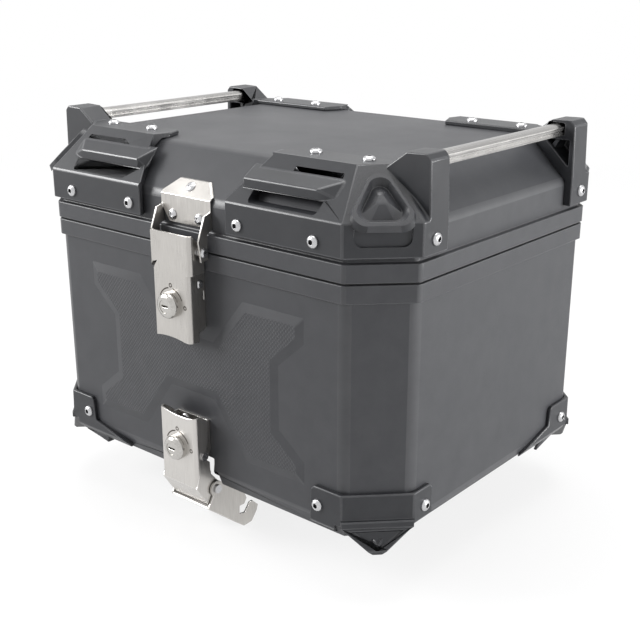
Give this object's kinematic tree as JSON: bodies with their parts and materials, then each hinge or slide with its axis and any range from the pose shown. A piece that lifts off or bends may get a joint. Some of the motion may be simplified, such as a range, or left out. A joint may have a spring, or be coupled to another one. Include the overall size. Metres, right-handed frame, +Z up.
{
  "type": "motorcycle top case",
  "caption": "Black hard-shell motorcycle top case with hinged lid, corner guards with grips, side tie rails, keyed stainless latch and a swinging release hook",
  "frame": {"origin": "centre of the docking plate's underside", "axes": "+X to the right along the lock face, +Y to the back of the case (hinge side), +Z up"},
  "size_m": [0.4414, 0.3809, 0.3716],
  "materials": {
    "case_plastic": "fine moulded grain",
    "guard_plastic": "moulded, slightly smoother than the case",
    "dock_plastic": "moulded",
    "seal_rubber": "matt",
    "satin_aluminium": "satin anodised",
    "stainless_sheet": "fine brushed sheet",
    "lock_chrome": "bright plated",
    "zinc_fasteners": "bright zinc"
  },
  "bodies": {
    "tub": {"tub_shell": "case_plastic", "docking_plate": "dock_plastic", "docking_screws": "zinc_fasteners", "docking_nuts": "zinc_fasteners", "bumper_front_left": "guard_plastic", "bumper_front_right": "guard_plastic", "bumper_rear_left": "guard_plastic", "bumper_rear_right": "guard_plastic", "bumper_screws": "zinc_fasteners", "bumper_nuts": "zinc_fasteners", "latch_base": "stainless_sheet", "latch_base_rivets": "zinc_fasteners", "latch_base_pin": "zinc_fasteners", "release_base": "stainless_sheet", "release_base_rivets": "zinc_fasteners", "release_pivots": "zinc_fasteners", "hinge_tub_leaves": "stainless_sheet", "hinge_tub_rivets": "zinc_fasteners", "hinge_pins": "stainless_sheet"},
    "lid": {"lid_shell": "case_plastic", "lid_seal": "seal_rubber", "guard_front_left": "guard_plastic", "guard_front_right": "guard_plastic", "guard_rear_left": "guard_plastic", "guard_rear_right": "guard_plastic", "guard_screws": "zinc_fasteners", "guard_nuts": "zinc_fasteners", "rail_left": "satin_aluminium", "rail_right": "satin_aluminium", "latch_hasp": "stainless_sheet", "hasp_rivets": "zinc_fasteners", "latch_pivots": "zinc_fasteners", "hinge_lid_leaves": "stainless_sheet", "hinge_lid_rivets": "zinc_fasteners"},
    "latch": {"latch_cover": "stainless_sheet", "latch_lock_barrel": "lock_chrome", "latch_lock_nut": "stainless_sheet"},
    "latch_lock": {"latch_lock_plug": "lock_chrome", "latch_lock_cam": "stainless_sheet", "latch_cam_screw": "stainless_sheet"},
    "release": {"release_cover": "stainless_sheet", "release_lock_barrel": "lock_chrome", "release_lock_nut": "stainless_sheet", "hook_pivots": "zinc_fasteners"},
    "release_lock": {"release_lock_plug": "lock_chrome", "release_lock_cam": "stainless_sheet", "release_cam_screw": "stainless_sheet"},
    "hook": {"release_hook": "stainless_sheet"}
  },
  "joints": [
    {"name": "lid_hinge", "type": "hinge", "parent": "tub", "child": "lid", "pos_m": [0, 0.1779, 0.22], "axis": [-1, 0, 0], "range_deg": [0, 95]},
    {"name": "latch_swing", "type": "hinge", "parent": "lid", "child": "latch", "pos_m": [0, -0.178, 0.2214], "axis": [-1, 0, 0], "range_deg": [0, 45]},
    {"name": "latch_lock_turn", "type": "hinge", "parent": "latch", "child": "latch_lock", "pos_m": [0, -0.19, 0.1735], "axis": [0, -1, 0], "range_deg": [0, 90]},
    {"name": "release_swing", "type": "hinge", "parent": "tub", "child": "release", "pos_m": [0, -0.18, 0.034], "axis": [1, 0, 0], "range_deg": [0, 20]},
    {"name": "release_lock_turn", "type": "hinge", "parent": "release", "child": "release_lock", "pos_m": [0, -0.19, 0.041], "axis": [0, -1, 0], "range_deg": [0, 90]},
    {"name": "hook_swing", "type": "hinge", "parent": "release", "child": "hook", "pos_m": [0, -0.1675, -0.002], "axis": [1, 0, 0], "range_deg": [-30, 35]}
  ]
}
